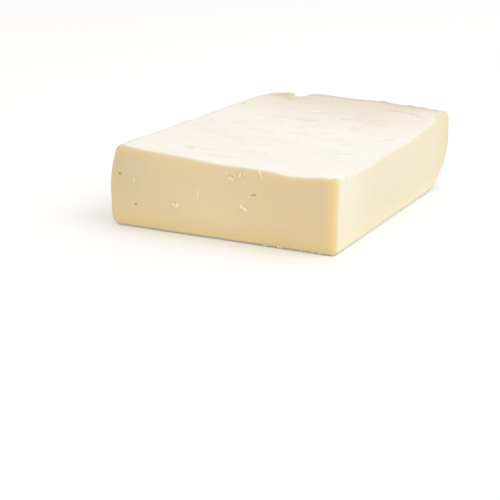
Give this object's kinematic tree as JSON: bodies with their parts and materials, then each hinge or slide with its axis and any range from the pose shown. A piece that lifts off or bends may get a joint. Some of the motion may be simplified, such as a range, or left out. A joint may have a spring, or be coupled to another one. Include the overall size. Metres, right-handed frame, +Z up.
{
  "type": "havarti cheese block",
  "caption": "Cut block of semi-soft cheese: pale wrinkled rind on top and on the rounded left and back sides, knife-cut front and right faces with small eyes.",
  "frame": {"origin": "on the underside, under the middle of the block's box", "axes": "+Z up, +X out of the deep right cut face, -Y out of the front cut face, so the rind sides are -X and +Y"},
  "size_m": [0.1144, 0.1606, 0.0396],
  "materials": {
    "cheese": null
  },
  "bodies": {
    "root": {"cheese_block": "cheese"}
  },
  "joints": []
}
